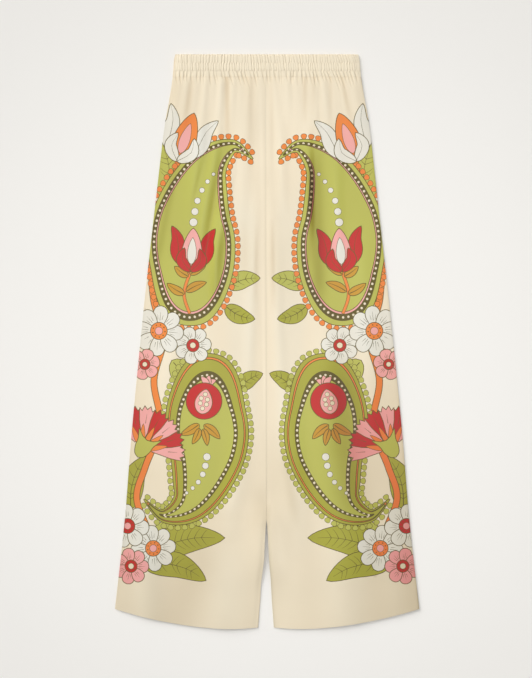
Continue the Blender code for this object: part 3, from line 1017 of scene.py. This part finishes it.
def shade_depth(leg, across, below):
    """How much painted shade the cloth takes along the broad, shallow hollows of the legs, and how much
    painted highlight along their broadest swells, where the depth is negative."""
    depth = np.zeros_like(across)
    for shade in SHADES:
        if shade.leg == leg:
            along = (below - shade.below_1) / (shade.below_2 - shade.below_1)
            offset = (across - shade.across_1 - (shade.across_2 - shade.across_1) * along) / shade.half
            fade = ease(shade.below_1 - shade.soft, shade.below_1 + shade.soft, below)
            fade *= 1 - ease(shade.below_2 - shade.soft, shade.below_2 + shade.soft, below)
            depth += shade.depth * fade * bell(offset)
    return depth


HOLLOW_SHADE = 0.070         # painted shade where no fold lifts the cloth
FULL_FOLD = 0.0028     # height of a fold at which the painted hollow shade is gone
SHADE_SHARE = 1.13     # strength of the painted shades in the table


def front_painted_shade_and_tint(leg, across, below):
    """Painted shade on the front cloth's dyes: in its hollows, creases and seams, softly towards the hems
    and at the outer edge, with painted highlight below the waistband, at some inner rims and along broad
    swells, and a faint cool tint.
    """
    drop = below - BAND_DEPTH
    width = read(SIDE_EDGE, below)
    folds = cloth_rise(leg, across, below)
    # Painted shade, warm: in the hollows between folds, and in the gathers' troughs just below the seam.
    hollow_shade = HOLLOW_SHADE * (1 - np.clip(folds / FULL_FOLD, 0.0, 1.0)) + 40.0 * seam_gathers(leg, across, below)
    # Painted shade on the shaded wall of each crease.
    hollow_shade += sum(c.shade * crease_shares(c, across, below)[1] for c in CREASES if c.leg == leg)
    # Painted highlight: less hollow shade just below the waistband.
    waist = 0.010 * (1 - ease(0.02, 0.20, drop))
    # Painted shade that grows towards the hems, most on the outer side.
    hem = ease(0.60, 1.02, below) * (0.085 + 0.030 * ease(0.45, 1.0, across / width))
    from_inner = across - read(INNER_EDGE, below)
    # Painted shade along the centre seam and the waist seam.
    seams = (0.050 + 0.020 * ease(0.20, 0.50, below)) * bell(from_inner / 0.0012)
    seams += 0.045 * bell(drop / 0.0013)
    # Painted shade beside the inner edges where the legs part.
    parting = ease(0.80, 0.90, below) - 0.6 * ease(0.95, 1.04, below)
    parting = 0.070 * parting * (1 - ease(0.0, 0.016, from_inner)) ** 1.5
    # Painted highlight on the wearer's right leg's inner rim, and more painted shade on the left leg's.
    if leg < 0:
        rim = ease(0.86, 0.90, below) * (0.13 + 0.09 * ease(0.95, 1.02, below))
    else:
        rim = -0.10 * ease(0.88, 0.95, below)
    parting -= rim * bell(from_inner / 0.0034)
    # Painted shade along the outer edge.
    side = 0.070 * (1 - ease(0.0, 0.006, width - across))
    broad = hem + seams + parting + side
    # Painted shade and painted highlight from the table of shades.
    shades = SHADE_SHARE * shade_depth(leg, across, below)
    cool = ease(0.010, 0.032, across) * (1 - ease(0.055, 0.085, across))
    cool = cool * ease(0.22, 0.32, below) * (1 - ease(0.55, 0.80, below))
    painted_shade_and_tint = painted_shade_scale(hollow_shade - waist, 1) * painted_shade_scale(shades, 0.35) * painted_shade_scale(broad, 0)
    return painted_shade_and_tint * (1 - cool[:, None] * np.array((0.026, 0.0, -0.030)))


def front_pitch(drop):
    """How far apart the front cloth's points lie: close below the gathers, wider further down."""
    return 0.0010 + 0.0008 * float(ease(0.010, 0.044, drop)) + 0.0011 * float(ease(0.10, 0.40, drop))


front_weave = woven(
    leg_outline(SEAM_TOP, 0.0, 0.0025),
    inside_points(SEAM_TOP, 0.0, front_pitch, (0.0003, 0.0009, 0.0018, 0.0031, 0.0048)),
)
for leg, side in ((-1, "right"), (1, "left")):
    heights = front_height(leg, front_weave.across, front_weave.below)
    painted_shade_and_tint = front_painted_shade_and_tint(leg, front_weave.across, front_weave.below)
    front = printed_sheet(f"front_cloth_{side}", leg, front_weave, heights, painted_shade_and_tint)
    add_thickness(front, CLOTH)
    front.data.materials.append(leg_cloth)
    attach(front, "root")
    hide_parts(f"front_leg_{side}")

# ----------------------------------------------
# Waistband: one strip of the plain cloth, closed into a ring and folded over elastic. Two rows
# of stitching part the elastic into three channels, and each channel gathers the cloth anew.
# ----------------------------------------------

BAND_WALL = 0.0027
BAND_MOUTH = 0.0005
BAND_THINNING = 0.35   # how much thinner the waistband lies at its two ends, as a share
TOP_ROUND = 0.0024     # how far down the top edge is rounded
FOOT_ROUND = 0.0016    # and how far up the edge at the seam
BAND_STEPS = 1800      # points round the waistband
BAND_ROWS = 36         # and down its outside
STITCH_PINCH = 0.0004  # how far each row of stitching draws the cloth in


def band_ring(depth, outside):
    """A ring of points round the waistband at this depth below its top edge, with the painted shade at
    each point.
    """
    middle = BAND_WALL + BAND_MOUTH / 2
    half = float(read(SIDE_EDGE, depth)) - middle
    bend = math.pi * middle
    place = np.arange(BAND_STEPS) / BAND_STEPS * (4 * half + 2 * bend)
    on_front = place < 2 * half
    on_back = (place >= 2 * half + bend) & (place < 4 * half + bend)
    right_bend = (place >= 2 * half) & (place < 2 * half + bend)
    facing = np.where(on_front, math.pi / 2, -math.pi / 2)
    facing = np.where(right_bend, math.pi / 2 - (place - 2 * half) / middle, facing)
    left_bend = place >= 4 * half + bend
    facing = np.where(left_bend, -math.pi / 2 - (place - 4 * half - bend) / middle, facing)
    x = np.where(on_back, 3 * half + bend - place, np.where(right_bend, half, -half))
    x = np.where(on_front, place - half, x)
    wall = np.full(BAND_STEPS, middle if outside else BAND_MOUTH / 2)
    rise = np.zeros(BAND_STEPS)
    lift = np.zeros(BAND_STEPS)
    if outside:
        number = next(i for i, c in enumerate(CHANNELS) if depth <= c.bottom)
        channel = CHANNELS[number]
        share = (depth - channel.top) / (channel.bottom - channel.top)
        swell = max(math.sin(math.pi * share), 0.0) ** 0.5
        along = 0.60 + 0.40 * abs(2 * share - 1) ** 1.5
        if number == 0:
            swell = max(swell, 1 - 3 * share)
        if number == 2:
            along = 0.40 + 0.60 * share
            swell = max(swell, 3 * share - 2)
        flat_x = x * BAND_HALF / (half + middle)
        from_middle = depth - (channel.top + channel.bottom) / 2
        for gathers, upward in ((FRONT_GATHERS[number], 1), (BACK_GATHERS[number], -1)):
            sunk = gather_drop(gathers, flat_x, from_middle, along)
            ripple = (0.0002 if number == 2 else 0.0006) - sunk if upward > 0 else -0.5 * sunk
            facing_share = np.clip(upward * np.sin(facing), 0.0, 1.0)
            rise += upward * (ripple - STITCH_PINCH * (1 - swell)) * facing_share
            lift += sunk * facing_share * max(1 - depth / 0.004, 0.0)
        rounding = 0.45 * max(1 - depth / TOP_ROUND, 0.0) ** 2
        rounding += 0.012 * max(1 - (BAND_DEPTH - depth) / FOOT_ROUND, 0.0) ** 2
        wall = wall - rounding * middle * np.abs(np.sin(facing))
    z = middle + wall * np.sin(facing) + rise
    z *= 1 - BAND_THINNING * (1 - ease(0.0, 0.014, half + middle - np.abs(x)))
    x = (x + wall * np.cos(facing)) * np.where(x < 0, read(LIE[-1], depth), read(LIE[1], depth))
    places = np.stack((x, LENGTH / 2 - depth - lift, np.maximum(z, 0.0)), axis=-1)
    # Painted shade in the gathers' troughs, at the left end, on the left bend, along the top edge and
    # above the seam; painted highlight on the crests and the right bend.
    band_shade = 26.0 * np.clip(0.0006 - rise, -0.0006, 0.003)
    band_shade += 0.10 * (1 - ease(0.0, 0.010, places[:, 0] + half + middle))
    band_shade += np.where(x < 0, 0.25, -0.22) * np.cos(facing) ** 2
    band_shade += 0.16 * (1 - ease(0.0, 0.0022, depth))
    band_shade += 0.055 * bell((BAND_DEPTH - depth) / 0.0013)
    return places, painted_shade_scale(band_shade + 0.012, 0.8)


bm = bmesh.new()
band_rows = [(BAND_DEPTH * k / BAND_ROWS, True) for k in range(BAND_ROWS + 1)]
band_rows += [(BAND_DEPTH * (1 - k / 3), False) for k in range(4)]
band_rings = [band_ring(*row) for row in band_rows]
bmesh.ops.create_grid(bm, x_segments=BAND_STEPS, y_segments=len(band_rows), size=0.5)
band_dye_and_shade = bm.verts.layers.float_color.new("dye")
for vertex in bm.verts:
    step = round((vertex.co.x + 0.5) * BAND_STEPS) % BAND_STEPS
    row = round((0.5 - vertex.co.y) * len(band_rows)) % len(band_rows)
    vertex.co = band_rings[row][0][step]
    # Each point's colour is the ground dye under its painted shade.
    vertex[band_dye_and_shade] = (*(band_rings[row][1][step] * DYES["ground"]), 1.0)
bmesh.ops.remove_doubles(bm, verts=bm.verts, dist=0.000002)
bmesh.ops.recalc_face_normals(bm, faces=bm.faces)
for face in bm.faces:
    face.smooth = True
band = new_piece("waistband_cloth", bm)
band.data.set_sharp_from_angle(angle=math.radians(70))
band.data.materials.append(cloth_material("band_cloth"))
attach(band, "root")
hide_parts("waistband")

# ----------------------------------------------
# Waistband stitching: two rows of lockstitch in matched cream thread, sewn through the band and
# the elastic all the way round. Each stitch lies on the gathered cloth and dips at its two ends.
# ----------------------------------------------

STITCH = 0.0030
STITCH_PITCH = 0.0038
THREAD = 0.00040       # width of the thread
STITCH_TURNS = 6       # sides of its round
THREAD_SHADE = 0.94    # its dye, as a share of the cloth's

bm = bmesh.new()
thread_colour = bm.verts.layers.float_color.new("dye")
for depth in (CHANNELS[0].bottom, CHANNELS[1].bottom):
    ring = band_ring(depth, True)[0]
    gone = np.concatenate(([0.0], np.cumsum(np.linalg.norm(np.diff(ring, axis=0), axis=1))))
    for start in np.arange(0.0, gone[-1] - STITCH_PITCH, STITCH_PITCH):
        marks = start + STITCH * np.arange(5) / 4
        places = np.stack([np.interp(marks, gone, ring[:, k]) for k in range(3)], axis=-1)
        ahead = np.gradient(places, axis=0)
        out = np.cross(ahead, (0.0, 1.0, 0.0))
        out /= np.linalg.norm(out, axis=1)[:, None]
        rounds = []
        for place, outward, share in zip(places, out, (0.5, 0.95, 1.0, 0.95, 0.5)):
            corners = []
            for turn in np.arange(STITCH_TURNS) * 2 * math.pi / STITCH_TURNS:
                along_band = THREAD / 2 * share * math.cos(turn)
                away = THREAD * 0.4 * share * (math.sin(turn) + 0.7)
                x, y, z = place + outward * away + np.array((0.0, along_band, 0.0))
                corners.append(bm.verts.new((x, y, max(z, 0.0))))
                corners[-1][thread_colour] = (*(THREAD_SHADE * np.array(DYES["ground"])), 1.0)
            rounds.append(corners)
        for a, b in zip(rounds, rounds[1:]):
            for k in range(STITCH_TURNS):
                bm.faces.new((a[k - 1], a[k], b[k], b[k - 1])).smooth = True
        bm.faces.new(rounds[0][::-1])
        bm.faces.new(rounds[-1])
bmesh.ops.recalc_face_normals(bm, faces=bm.faces)
stitches = new_piece("waistband_stitches", bm)
stitches.data.materials.append(band.data.materials[0])
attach(stitches, "root")

# ----------------------------------------------
# The set: a plain pale floor, a camera straight above the garment, and soft studio light from
# the upper left with a pale fill all round.
# ----------------------------------------------

bm = bmesh.new()
bmesh.ops.create_grid(bm, x_segments=1, y_segments=1, size=6.0)
for vertex in bm.verts:
    vertex.co.z = -0.0002
floor = new_piece("floor", bm)
floor_material = bpy.data.materials.new("floor")
floor_material.use_nodes = True
floor_shader = floor_material.node_tree.nodes["Principled BSDF"]
set_inputs(floor_shader, Base_Color=(0.88, 0.86, 0.82, 1.0), Roughness=0.9)
floor.data.materials.append(floor_material)

FRAME_HEIGHT = 1.252   # metres of floor from the top of the frame to its bottom
CAMERA_HEIGHT = 4.0
CAMERA_ASIDE = 0.0005  # the frame's middle, beside the garment's
CAMERA_UP = 0.0050     # and above it
camera_data = bpy.data.cameras.new("camera")
camera_data.sensor_width = 36.0
camera_data.lens = 36.0 * CAMERA_HEIGHT / FRAME_HEIGHT
camera = placed("camera", camera_data)
camera.location = (CAMERA_ASIDE, CAMERA_UP, CAMERA_HEIGHT)
bpy.context.scene.camera = camera


def soft_light(name, place, spread, strength, colour):
    """A far, wide light that reaches every part of the floor alike."""
    data = bpy.data.lights.new(name, "SUN")
    data.angle = math.radians(spread)
    data.energy = strength
    data.color = colour
    placed(name, data).rotation_euler = Vector(place).to_track_quat("Z", "Y").to_euler()


soft_light("key", (-0.63, 0.59, 0.51), 44.0, 2.06, (1.0, 1.0, 1.0))
soft_light("overhead", (0.0, 0.05, 1.0), 60.0, 0.93, (1.0, 0.99, 0.97))
pool_data = bpy.data.lights.new("pool", "SPOT")
pool_data.energy = 84.0
pool_data.spot_size = math.radians(22.5)
pool_data.spot_blend = 1.0
pool_data.shadow_soft_size = 0.15
placed("pool", pool_data).location = (0.0, 0.0, 4.2)
world = bpy.data.worlds.new("room")
world.use_nodes = True
nodes, links = world.node_tree.nodes, world.node_tree.links
room = nodes["Background"]
set_inputs(room, Color=(0.97, 0.98, 1.0, 1.0), Strength=0.31)
backdrop = nodes.new("ShaderNodeBackground")
set_inputs(backdrop, Color=(0.83, 0.81, 0.76, 1.0))
seen = nodes.new("ShaderNodeLightPath")
either = nodes.new("ShaderNodeMixShader")
links.new(seen.outputs["Is Camera Ray"], either.inputs[0])
links.new(room.outputs[0], either.inputs[1])
links.new(backdrop.outputs[0], either.inputs[2])
links.new(either.outputs[0], nodes["World Output"].inputs["Surface"])
bpy.context.scene.world = world
bpy.context.scene.view_settings.view_transform = "Standard"   # the dyes show as they are
